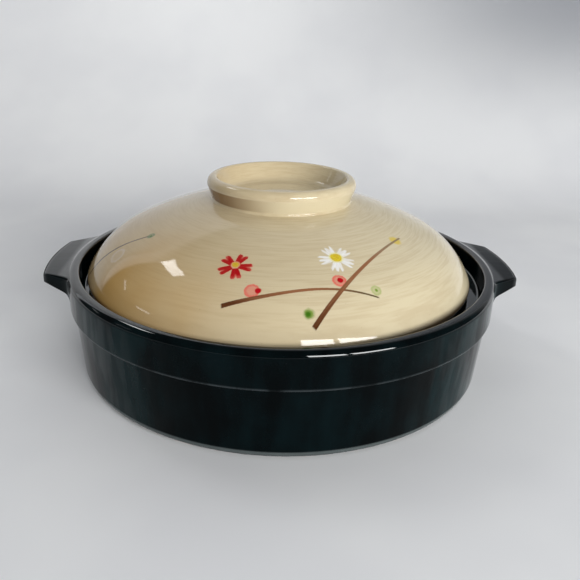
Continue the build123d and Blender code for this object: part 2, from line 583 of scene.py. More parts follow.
@dataclass(frozen=True)
class Berry:
    """A round dab with a softer rim and, off its middle, a darker dot."""

    azimuth: float
    radius: float
    size: float
    fill: Colour
    dot: Colour
    dot_size: float
    dot_shift: Point = (0.0, 0.0)
    strength: float = 0.9
    soft: float = 0.35
    hollow: float = 0.34

    def paint(self, ground: Ground, under: Field) -> Field:
        """Lay the dab and its dot over a colour.

        Args:
            ground: the lid's surface.
            under: the colour below.

        Returns:
            The colour with the dab on it.
        """
        graph = ground.graph
        point, across, down = ground.dome.tangent_frame(self.azimuth, self.radius)
        ragged = (ground.wobble - 0.5) * 1.4
        away = graph.distance(ground.place, point) + ragged
        body = away.ramp(self.size + self.soft, self.size - self.soft)
        rim = away.ramp(self.size * 0.50, self.size * 0.85)
        opaque = 0.95 - (1.0 - rim) * self.hollow + (ground.bristle - 0.5) * 0.4
        filled = graph.mix(body * opaque * self.strength, under, self.fill)
        heart = point + across * self.dot_shift[0] + down * self.dot_shift[1]
        near = graph.distance(ground.place, heart) + ragged * 0.6
        dot = near.ramp(self.dot_size + self.soft, self.dot_size - self.soft)
        return graph.mix(dot, filled, self.dot)


@dataclass(frozen=True)
class BlossomKind:
    """How one kind of blossom is painted: its colours, its size and the form of its petals."""

    petal: Colour
    pale: Colour
    centre: Colour
    stigma: Colour
    pollen: Colour
    size: float
    centre_size: float
    spread: float
    notch: float
    valley: float
    sheer: float
    drop: float
    base: float = 1.30
    petals: int = 5


@dataclass(frozen=True)
class Blossom:
    """Five petals of brush streaks about a dabbed centre, each forked at its tip."""

    kind: BlossomKind
    azimuth: float
    radius: float
    turn: float

    def paint(self, ground: Ground, under: Field) -> Field:
        """Lay the petals and the centre over a colour."""
        across, down = ground.plane(self.azimuth, self.radius)
        return self._heart(ground, across, down, self._petals(ground, across, down, under))

    def _petals(self, ground: Ground, across: Field, low: Field, under: Field) -> Field:
        """Lay the petals over a colour.

        Args:
            ground: the lid's surface.
            across: distance across the slope from the blossom's place.
            low: distance down the slope from it.
            under: the colour below.

        Returns:
            The colour with the petals on it.
        """
        graph, kind = ground.graph, self.kind
        down = low - kind.drop
        away = (across * across + down * down).root()
        turned = graph.math("ARCTAN2", down, across) / math.tau * kind.petals
        turned = turned - self.turn * kind.petals / 360
        part = graph.math("FRACT", turned + (kind.petals + 0.5)) - 0.5
        angle = part * (math.tau / kind.petals)
        out = away * graph.math("COSINE", angle)
        side = abs(away * graph.math("SINE", angle))
        half = out * kind.spread + kind.base
        share = side / half
        off_fork = abs(share - kind.valley)
        streaks = graph.noise(graph.combine(turned * 7.0, away * 0.10, self.azimuth), 1.0)
        lobes = (streaks - 0.5) * 1.9 + (ground.wobble - 0.5) * 1.0
        fork = off_fork.ramp(0.32, 0.0) * kind.notch + share.ramp(0.70, 1.1) * 1.6
        tip = kind.size + 0.3 - fork + lobes
        flank = (half - side + (ground.bristle - 0.5) * 0.5).ramp(-0.10, 0.30)
        root = out.ramp(kind.centre_size * 0.75, kind.centre_size * 1.15)
        body = flank * (tip - out).ramp(-0.2, 0.6) * root
        split = off_fork.ramp(0.30, 0.0) * out.ramp(kind.size * 0.60, kind.size * 0.90)
        paled = out.ramp(kind.size * 0.70, kind.size * 1.05) * streaks.ramp(0.42, 0.62)
        tone = graph.mix(paled * 0.4 + split * 0.6, kind.petal, kind.pale)
        thin = (streaks.ramp(0.62, 0.38) * 0.6 + split * 0.7) * kind.sheer
        halo = (half + 0.7 - side).ramp(0.0, 0.7) * (tip + 0.6 - out).ramp(0.0, 0.8)
        halo = halo * out.ramp(0.5, 2.0) * ground.outside
        hazed = graph.mix(halo * 0.30, under, kind.pale)
        return graph.mix(body * ground.outside * (1.0 - thin), hazed, tone)

    def _heart(self, ground: Ground, across: Field, down: Field, under: Field) -> Field:
        """Lay the centre and the pollen round it over the petals.

        Args:
            ground: the lid's surface.
            across: distance across the slope from the blossom's place.
            down: distance down the slope from it.
            under: the colour below.

        Returns:
            The colour with the centre on it.
        """
        graph, kind, size = ground.graph, self.kind, self.kind.centre_size
        away = (across * across + down * down).root()
        ring = away.ramp(size * 1.5, size * 1.05) * ground.outside
        dusted = graph.mix(ring * 0.85, under, kind.pollen)
        heart = (away + (ground.wobble - 0.5) * 1.4).ramp(size + 0.4, size - 0.4)
        core = graph.mix(ground.bristle.ramp(0.40, 0.60), kind.centre, kind.stigma)
        return graph.mix(heart * ground.outside, dusted, core)


Motif = Twig | Berry | Blossom

PINK: Colour = (0.70, 0.120, 0.090, 1.0)
CRIMSON: Colour = (0.46, 0.006, 0.012, 1.0)
BUD: Colour = (0.66, 0.50, 0.09, 1.0)
LEAF: Colour = (0.175, 0.275, 0.034, 1.0)
LEAF_DARK: Colour = (0.045, 0.145, 0.008, 1.0)
LEAF_PALE: Colour = (0.340, 0.405, 0.130, 1.0)
MOSS: Colour = (0.110, 0.200, 0.085, 1.0)
MILK: Colour = (0.640, 0.540, 0.420, 1.0)
TWIG_DARK: Colour = (0.060, 0.042, 0.022, 1.0)
TWIG_PALE: Colour = (0.250, 0.175, 0.090, 1.0)

RED = BlossomKind(
    petal=(0.42, 0.006, 0.009, 1.0),
    pale=(0.80, 0.27, 0.19, 1.0),
    centre=(0.66, 0.46, 0.06, 1.0),
    stigma=(0.60, 0.38, 0.02, 1.0),
    pollen=(0.78, 0.36, 0.20, 1.0),
    size=8.9,
    centre_size=1.9,
    spread=0.215,
    notch=0.9,
    valley=0.0,
    sheer=0.05,
    drop=0.9,
)
WHITE = BlossomKind(
    petal=(0.84, 0.83, 0.80, 1.0),
    pale=(0.72, 0.70, 0.62, 1.0),
    centre=(0.72, 0.60, 0.03, 1.0),
    stigma=(0.60, 0.38, 0.02, 1.0),
    pollen=(0.80, 0.76, 0.34, 1.0),
    size=9.5,
    centre_size=3.1,
    spread=0.250,
    notch=2.4,
    valley=0.42,
    sheer=0.65,
    drop=0.8,
)

FRONT_SPRAY: tuple[Motif, ...] = (
    Berry(-99.9, 102.8, 4.0, PINK, CRIMSON, 1.65, (3.1, -0.3)),
    Berry(-74.1, 97.9, 3.8, PINK, CRIMSON, 1.65, (0.6, -0.2)),
    Berry(-38.6, 81.3, 3.6, BUD, BUD, 1.6, (0.3, 0.4), strength=1.0, soft=1.0, hollow=0.0),
    Twig(-85.0, 101.3, (-42.0, 5.0), (39.0, 3.4), -3.5, 2.45, 0.9, lean=0.9),
    Twig(-68.6, 96.9, (-30.3, 21.8), (46.0, -29.6), -1.9, 2.70, 1.15, tip=TWIG_PALE),
    Blossom(RED, -107.3, 88.6, -1.4),
    Blossom(WHITE, -71.4, 82.9, 36.0),
    Berry(-84.6, 111.8, 2.6, LEAF, LEAF_DARK, 1.5, (-0.5, 0.2), 0.95, soft=1.0, hollow=0.0),
    Berry(-64.1, 105.4, 2.9, LEAF_PALE, LEAF, 0.9, (0.2, 0.0), 0.80, soft=0.5, hollow=0.40),
)

BACK_SPRAY: tuple[Motif, ...] = (
    Twig(
        -158.6, 103.4, (-12.5, 24.0), (9.8, -18.8), -0.4, 1.25, 1.0,
        dark=TWIG_DARK, light=TWIG_DARK, tip=TWIG_DARK,
    ),
    # A pale hollow oval dab at the far left, with no dot.
    Berry(-154.2, 105.6, 5.4, MILK, MILK, -2.0, strength=0.60, soft=0.6, hollow=0.60),
    Berry(-151.7, 86.6, 2.4, MOSS, LEAF_DARK, 0.9, (0.4, 0.2), strength=0.90, soft=0.5),
    Berry(146.0, 103.0, 4.2, PINK, CRIMSON, 1.6, (2.6, 0.4)),
    Berry(115.0, 101.0, 3.9, PINK, CRIMSON, 1.7, (0.8, -0.3)),
    Twig(131.0, 101.0, (-39.0, 4.0), (36.0, 2.0), -3.6, 2.8, 0.9, lean=0.9),
    Twig(120.0, 97.0, (-28.0, 21.0), (40.0, -27.0), -2.4, 2.9, 1.1, tip=TWIG_PALE),
    Blossom(RED, 152.0, 86.0, 20.0),
    Blossom(WHITE, 118.0, 78.0, 8.0),
    Berry(126.0, 112.0, 3.0, LEAF, LEAF_DARK, 1.1, (0.4, 0.2), strength=0.80, soft=0.9),
)


@dataclass(frozen=True)
class LidGlaze:
    """Cream glaze with fine brushed rings, painted light on the right, amber painted shade on the
    left, and painted sprays.
    """

    dome: DomeShape = DomeShape()
    cream: Colour = (0.57, 0.455, 0.275, 1.0)
    # Paler cream, laid on the right and on the knob's waist as painted light.
    light: Colour = (0.65, 0.570, 0.385, 1.0)
    brushed: Colour = (0.46, 0.350, 0.205, 1.0)
    # Amber of the painted shade on the lid's left.
    amber_shade: Colour = (0.50, 0.290, 0.075, 1.0)
    # Rust brown of the specks, also used for painted shade.
    rust_and_shade: Colour = (0.24, 0.125, 0.045, 1.0)
    clay: Colour = (0.50, 0.38, 0.26, 1.0)
    ior: float = 1.46
    gloss: float = 0.03
    clay_roughness: float = 0.7
    wave_depth: float = 0.12
    grain_depth: float = 0.25
    seat_height: float = 53.0
    motifs: tuple[Motif, ...] = BACK_SPRAY + FRONT_SPRAY

    def material(self) -> bpy.types.Material:
        """Build the cream glaze with its painting.

        Returns:
            The material.
        """
        material = bpy.data.materials.new("cream_glaze")
        graph = Graph(material)
        spot = TurnedPlace(graph, self.dome.axis_x)
        rings = spot.streaks(3.2, spot.radius * 0.80 + spot.z * 0.4, 4.0)
        fine = spot.streaks(5.5, spot.radius * 2.6 + spot.z * 1.4, 3.0)
        ragged = spot.z + (graph.noise(spot.place, 0.25) - 0.5) * 0.8
        seat = ragged.ramp(self.seat_height + 0.9, self.seat_height + 0.6)
        colour = self.paint(spot, self.glaze_colour(spot, rings, fine))
        colour = graph.mix(seat, colour, self.clay)
        waves = graph.noise(spot.place, 0.06, 1.0) * 0.5 + rings * 0.12 + fine * 0.04
        grain = graph.noise(spot.place, 0.9, 5.0) * seat
        normal = graph.bump(grain, self.grain_depth, graph.bump(waves, self.wave_depth))
        roughness = self.gloss + rings * 0.05 + seat * self.clay_roughness
        graph.surface(glossy_clay(graph, colour, roughness, normal, self.ior))
        return material

    def glaze_colour(self, spot: TurnedPlace, rings: Field, fine: Field) -> Field:
        """Colour of the glaze before it is painted, with painted light on the right and on the
        knob's waist, and painted shade on the left, on the lower edge and on the waist's left side.

        Args:
            spot: place on the lid.
            rings: broad brushed rings.
            fine: fine brushed rings.

        Returns:
            The colour.
        """
        graph, x, y, radius, up = spot.graph, spot.x, spot.y, spot.radius, spot.up
        clouds = graph.noise(spot.place, 0.022)
        # Paler towards the right: painted light from that side.
        colour = graph.mix((x + clouds * 60.0).ramp(-70.0, 120.0), self.cream, self.light)
        brushed = (rings * 0.5 + fine * 0.5).ramp(0.58, 0.36)
        colour = graph.mix(brushed * 0.36, colour, self.brushed)
        # Amber on the lower left: painted shade, held back at the front left.
        painted_left_shade = (x + clouds * 40.0).ramp(5.0, -85.0) * radius.ramp(55.0, 112.0)
        painted_left_shade = painted_left_shade * (1.0 - y.ramp(-64.0, -48.0) * x.ramp(-55.0, -90.0) * 0.65)
        colour = graph.mix(painted_left_shade * 0.85, colour, self.amber_shade)
        # Darker where the shoulder turns down into the gap: painted shade.
        edge = up.ramp(0.50, 0.10) * radius.ramp(90.0, 110.0)
        colour = graph.mix(edge * 0.75, colour, self.rust_and_shade)
        # Under the knob's bead: painted light on the waist, and painted shade on its left side.
        waist = up.ramp(0.0, -0.25) * radius.ramp(60.0, 50.0)
        colour = graph.mix(waist, colour, self.light)
        shaded = waist * (x + clouds * 20.0).ramp(12.0, -34.0)
        colour = graph.mix(shaded * 0.95, colour, self.rust_and_shade)
        specks = graph.noise(spot.place, 1.1, 1.0).ramp(0.74, 0.80)
        return graph.mix(specks * 0.30, colour, self.rust_and_shade)

    def paint(self, spot: TurnedPlace, colour: Field) -> Field:
        """Lay every motif over the glaze.

        Args:
            spot: place on the lid.
            colour: the glaze's colour.

        Returns:
            The painted colour.
        """
        wobble, bristle = spot.graph.noise(spot.place, 0.55), spot.graph.noise(spot.place, 1.6)
        outside = spot.up.ramp(0.0, 0.1)
        ground = Ground(spot.graph, self.dome, spot.place, outside, wobble, bristle)
        for motif in self.motifs:
            colour = motif.paint(ground, colour)
        return colour


@dataclass(frozen=True)
class PaleCloth:
    """Matt pale ground for the floor and the sweep behind the pot, darker towards its upper right
    as painted shade.
    """

    colour: Colour = (0.86, 0.87, 0.87, 1.0)
    shade: Colour = (0.80, 0.81, 0.82, 1.0)
    # Grey of the painted shade on the sweep's upper right.
    corner: Colour = (0.27, 0.28, 0.30, 1.0)
    roughness: float = 0.9

    def material(self) -> bpy.types.Material:
        """Build the matt ground.

        Returns:
            The material.
        """
        material = bpy.data.materials.new("pale_ground")
        graph = Graph(material)
        place = graph.place(0.0)
        x, _, z = graph.separate(place)
        colour = graph.mix(graph.noise(place, 0.006, 3.0).ramp(0.35, 0.65), self.shade, self.colour)
        # Darker towards the right and up the sweep: painted shade.
        colour = graph.mix(x.ramp(-150.0, 480.0) * z.ramp(0.0, 260.0), colour, self.corner)
        inputs = {"Base Color": colour, "Roughness": self.roughness}
        graph.surface(graph.read("BsdfPrincipled", None, inputs))
        return material


# Bench work


def clear_selection() -> None:
    """Deselect every object, the CAD nodes included."""
    bpy.ops.object.select_all(action="DESELECT")


@contextmanager
def editing() -> Iterator[None]:
    """Keep the active piece in edit mode for the length of a with block.

    Returns:
        The context, which holds nothing.
    """
    bpy.ops.object.mode_set(mode="EDIT")
    yield
    bpy.ops.object.mode_set(mode="OBJECT")


def face_outwards() -> None:
    """Point every face of the piece in edit mode outwards."""
    bpy.ops.mesh.select_all(action="SELECT")
    bpy.ops.mesh.normals_make_consistent(inside=False)


@dataclass(frozen=True)
class Corner:
    """Corner of an outline of radius and height, with the radius that rounds it off."""

    radius: float
    height: float
    rounding: float = 0.0


def arc_points(centre: Point, radius: float, first: float, last: float, steps: int) -> list[Point]:
    """Points on an arc.

    Args:
        centre: centre of the arc.
        radius: radius of the arc.
        first: angle of the first point, in radians.
        last: angle of the last point.
        steps: number of equal steps between them.

    Returns:
        The points, both ends included.
    """
    angles = [first + (last - first) * step / steps for step in range(steps + 1)]
    across, up = centre
    return [(across + radius * math.cos(angle), up + radius * math.sin(angle)) for angle in angles]


def rounded_outline(corners: Sequence[Corner], steps: int = 7, guard: float = 0.5) -> list[Point]:
    """Outline through corners, each replaced by its arc with a guard point at either end.

    Args:
        corners: the corners in order.
        steps: number of steps in each arc.
        guard: distance from an arc at which the straight run gets a point, so that it shades flat.

    Returns:
        The points of the outline.
    """
    points: list[Point] = [(corners[0].radius, corners[0].height)]
    for before, corner, after in zip(corners, corners[1:], corners[2:]):
        here = Vector((corner.radius, corner.height))
        back = (Vector((before.radius, before.height)) - here).normalized()
        ahead = (Vector((after.radius, after.height)) - here).normalized()
        half_angle = back.angle(ahead) / 2
        reach = corner.rounding / math.tan(half_angle)
        centre = here + (back + ahead).normalized() * (corner.rounding / math.sin(half_angle))
        first, last = here + back * reach - centre, here + ahead * reach - centre
        start = math.atan2(first.y, first.x)
        swing = (math.atan2(last.y, last.x) - start + math.pi) % math.tau - math.pi
        guards = [tuple(here + back * (reach + guard)), tuple(here + ahead * (reach + guard))]
        arc = arc_points(tuple(centre), corner.rounding, start, start + swing, steps)
        points += [guards[0], *arc, guards[1]]
    points.append((corners[-1].radius, corners[-1].height))
    return points


def turn_outline(
    name: str, outline: Sequence[Point], steps: int, axis_x: float, weld: float = 0.002
) -> bpy.types.Object:
    """Draw an outline as by hand and spin it about an upright axis.

    Args:
        name: name of the piece.
        outline: radius and height of each point, in millimetres.
        steps: number of steps round the axis.
        axis_x: place of the axis on X.
        weld: distance at which points are merged, in millimetres.

    Returns:
        The closed turned piece.
    """
    clear_selection()
    bpy.ops.mesh.primitive_plane_add(size=MM)
    piece = bpy.context.active_object
    piece.name = piece.data.name = name
    path = [Vector((axis_x + radius, 0.0, height)) * MM for radius, height in outline]
    with editing():
        bpy.ops.mesh.merge(type="CENTER")
        bpy.ops.transform.translate(value=path[0])
        for start, end in zip(path, path[1:]):
            bpy.ops.mesh.extrude_vertices_move(TRANSFORM_OT_translate={"value": end - start})
        bpy.ops.mesh.select_all(action="SELECT")
        centre = (axis_x * MM, 0.0, 0.0)
        bpy.ops.mesh.spin(steps=steps, angle=math.tau, center=centre, axis=(0.0, 0.0, 1.0))
        bpy.ops.mesh.select_all(action="SELECT")
        bpy.ops.mesh.remove_doubles(threshold=MM * weld)
        face_outwards()
    bpy.ops.object.shade_smooth()
    return piece


def clear_mesh(piece: bpy.types.Object) -> None:
    """Deselect every point, edge and face of a piece."""
    for group in (piece.data.vertices, piece.data.edges, piece.data.polygons):
        group.foreach_set("select", [False] * len(group))


def select_edges(piece: bpy.types.Object, wanted: Sequence[bool]) -> None:
    """Select exactly the wanted edges of a piece."""
    clear_mesh(piece)
    piece.data.edges.foreach_set("select", list(wanted))


def edge_ends(piece: bpy.types.Object) -> list[tuple[Vector, Vector]]:
    """Both end points of each edge of a piece."""
    points = [vertex.co for vertex in piece.data.vertices]
    return [(points[edge.vertices[0]], points[edge.vertices[1]]) for edge in piece.data.edges]


def dress(
    piece: bpy.types.Object, finish: bpy.types.Material, body: Body, slot: Slot, node: str
) -> None:
    """Give a finished piece its material and body, and hide the CAD node that it stands for.

    Args:
        piece: the finished piece.
        finish: its material.
        body: the body that it rides on.
        slot: the record's slot of its finish; not used.
        node: the CAD node that it replaces.
    """
    piece.data.materials.clear()
    piece.data.materials.append(finish)
    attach(piece, body.value)
    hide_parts(node)
    faces = len(piece.data.polygons)
    log.info("%s: %d faces, rides on %s, stands for %s", piece.name, faces, body.value, node)


# Pot


@dataclass(frozen=True)
class LugStation:
    """One section of a lug: reach out of the collar, half width, and heights of its faces."""

    reach: float
    half: float
    top: float
    under: float


@dataclass
class Pot:
    """Bowl with its stepped collar and gallery, and the two lugs. Sizes in millimetres."""

    rim_height: float = 64.4
    collar_radius: float = 134.5
    collar_flare: float = 0.2
    collar_height: float = 21.4
    rim_rounding: float = 3.6
    steps: int = 224
    columns: int = 26
    lug_bedding: float = 3.0
    lug_corner: float = 2.2
    lug_edge: float = 1.4
    round_steps: int = 4
    fold_angle: float = 50.0
    slack: float = 0.1
    bowl_corners: tuple[Corner, ...] = (
        Corner(0.0, 2.5),
        Corner(109.4, 2.5, 1.0),
        Corner(112.4, 0.0, 1.0),
        Corner(129.4, 0.0, 5.0),
        Corner(132.4, 43.0, 0.8),
        Corner(134.7, 43.0, 1.2),
        Corner(134.5, 64.4, 3.6),
        Corner(128.0, 64.4, 1.2),
        Corner(126.0, 53.0, 1.6),
        Corner(111.0, 53.0, 1.5),
        Corner(111.6, 46.0, 1.5),
        Corner(121.4, 37.0, 8.0),
        Corner(119.4, 10.5, 16.0),
        Corner(0.0, 10.5),
    )
    lug_stations: tuple[LugStation, ...] = (
        LugStation(-0.06, 47.6, 63.65, 48.7),
        LugStation(0.05, 45.9, 63.50, 49.7),
        LugStation(0.25, 44.4, 63.36, 50.6),
        LugStation(0.60, 42.9, 63.26, 51.4),
        LugStation(1.20, 41.5, 63.16, 52.2),
        LugStation(2.20, 39.9, 63.05, 52.8),
        LugStation(3.60, 38.2, 62.92, 53.3),
        LugStation(5.60, 36.1, 62.76, 53.9),
        LugStation(8.20, 33.5, 62.54, 54.7),
        LugStation(11.40, 30.5, 62.26, 55.7),
        LugStation(14.10, 28.1, 62.00, 56.6),
    )

    def build(self, finish: PotGlaze) -> None:
        """Build and dress the bowl and both lugs.

        Args:
            finish: the black glaze.
        """
        glaze = finish.material()
        bowl = turn_outline("glazed_bowl", rounded_outline(self.bowl_corners), self.steps, 0.0)
        dress(bowl, glaze, Body.POT, Slot.POT_GLAZE, "pot_bowl")
        lug = self.draw_lug(Side.RIGHT)
        for side, piece in ((Side.RIGHT, lug), (Side.LEFT, self.mirrored(lug, Side.LEFT))):
            dress(piece, glaze, Body.POT, Slot.POT_GLAZE, f"handle_{side.value}")

    def collar_face(self, height: float) -> float:
        """Radius of the collar's outer face at a height, its rounded rim included.

        Args:
            height: height over the table, in millimetres.

        Returns:
            The radius, in millimetres.
        """
        above = height - (self.rim_height - self.rim_rounding)
        if above > 0.0:
            sagitta = math.sqrt(max(self.rim_rounding**2 - above**2, 0.0))
            return self.collar_radius - self.rim_rounding + sagitta
        share = (self.rim_height - height) / self.collar_height
        return self.collar_radius + self.collar_flare * share

    def draw_lug(self, side: Side) -> bpy.types.Object:
        """Draw a lug out of a block in steps, round its edges and lay it round the collar.

        Args:
            side: the side that the lug is named for.

        Returns:
            The finished lug, on the right.
        """
        root = self.lug_stations[0]
        clear_selection()
        size = Vector((self.lug_bedding, 2 * root.half, root.top - root.under))
        middle = Vector((root.reach - self.lug_bedding / 2, 0.0, (root.top + root.under) / 2))
        bpy.ops.mesh.primitive_cube_add(size=1.0, location=(0.0, 0.0, 0.0))
        lug = bpy.context.active_object
        lug.name = lug.data.name = f"glazed_handle_{side.value}"
        with editing():
            bpy.ops.transform.resize(value=size * MM)
            bpy.ops.transform.translate(value=middle * MM)
        select_edges(lug, [abs(first.y - second.y) > MM for first, second in edge_ends(lug)])
        with editing():
            bpy.ops.mesh.subdivide(number_cuts=self.columns - 1)
        self._extrude_stations(lug)
        self._round_edges(lug)
        self._wrap_round_collar(lug)
        return lug

    def _extrude_stations(self, lug: bpy.types.Object) -> None:
        """Draw the front of the block out, one station after another.

        Args:
            lug: the block, divided into columns along the collar.
        """
        front = self.lug_stations[0].reach * MM
        clear_mesh(lug)
        for polygon in lug.data.polygons:
            at_front = abs(polygon.center.x - front) < self.slack * MM
            polygon.select = polygon.normal.x > 0.9 and at_front
        with editing():
            bpy.ops.mesh.select_mode(type="FACE")
            for before, after in zip(self.lug_stations, self.lug_stations[1:]):
                self._extrude_station(before, after)
            bpy.ops.mesh.select_mode(type="VERT")

    def _extrude_station(self, before: LugStation, after: LugStation) -> None:
        """Extrude the selected front from one station to the next and fit it to that one.

        Args:
            before: the station that the front stands at.
            after: the station that it moves to.
        """
        middle = Vector((after.reach, 0.0, (before.top + before.under) / 2)) * MM
        rise = (after.top + after.under - before.top - before.under) / 2
        out = ((after.reach - before.reach) * MM, 0.0, 0.0)
        bpy.ops.mesh.extrude_region_move(TRANSFORM_OT_translate={"value": out})
        depth = (after.top - after.under) / (before.top - before.under)
        shrink = (1.0, after.half / before.half, depth)
        bpy.ops.transform.resize(value=shrink, center_override=middle)
        bpy.ops.transform.translate(value=(0.0, 0.0, rise * MM))

    def _is_tip_corner(self, first: Vector, second: Vector) -> bool:
        """Whether an edge is one of the two upright corners of the tip.

        Args:
            first: one end of the edge.
            second: its other end.

        Returns:
            True for an upright corner.
        """
        tip = self.lug_stations[-1]
        at_tip = min(first.x, second.x) > (tip.reach - self.slack) * MM
        at_side = min(abs(first.y), abs(second.y)) > (tip.half - self.slack) * MM
        return at_tip and at_side and abs(first.z - second.z) > MM

    def _round_edges(self, lug: bpy.types.Object) -> None:
        """Round the upright corners of the tip, then every long edge and the edges of the tip.

        Args:
            lug: the drawn lug, still straight.
        """
        select_edges(lug, [self._is_tip_corner(*ends) for ends in edge_ends(lug)])
        with editing():
            bpy.ops.mesh.bevel(offset=self.lug_corner * MM, segments=self.round_steps)

        normals: dict[tuple[int, int], list[Vector]] = {}
        for polygon in lug.data.polygons:
            for key in polygon.edge_keys:
                normals.setdefault(key, []).append(polygon.normal)
        start, level = self.lug_stations[0].reach * MM, 3 * MM
        sharp = []
        for edge, (first, second) in zip(lug.data.edges, edge_ends(lug)):
            pair = normals[edge.key]
            folded = len(pair) == 2 and pair[0].angle(pair[1]) > math.radians(self.fold_angle)
            out = min(first.x, second.x) > start
            sharp.append(out and folded and abs(first.z - second.z) < level)
        select_edges(lug, sharp)
        with editing():
            bpy.ops.mesh.bevel(
                offset=self.lug_edge * MM, segments=self.round_steps, loop_slide=True
            )

    def _wrap_round_collar(self, lug: bpy.types.Object) -> None:
        """Lay the straight lug round the collar and shade it.

        Args:
            lug: the lug with its edges rounded.
        """
        for vertex in lug.data.vertices:
            reach, run, height = vertex.co / MM
            angle = run / self.collar_radius
            radius = self.collar_face(min(height, self.rim_height)) + reach
            place = Vector((radius * math.cos(angle), radius * math.sin(angle), height))
            vertex.co = place * MM
        with editing():
            face_outwards()
        bpy.ops.object.shade_smooth_by_angle(angle=math.radians(self.fold_angle))

    def mirrored(self, lug: bpy.types.Object, side: Side) -> bpy.types.Object:
        """Copy of a lug on the other side of the pot, with its own mesh.

        Args:
            lug: the lug to copy.
            side: the side that the copy is named for.

        Returns:
            The copy.
        """
        clear_selection()
        lug.select_set(True)
        bpy.context.view_layer.objects.active = lug
        bpy.ops.object.duplicate(linked=False)
        copy = bpy.context.active_object
        copy.name = copy.data.name = f"glazed_handle_{side.value}"
        with editing():
            bpy.ops.mesh.select_all(action="SELECT")
            bpy.ops.transform.resize(value=(-1.0, 1.0, 1.0), center_override=(0.0, 0.0, 0.0))
            face_outwards()
        return copy


# Lid


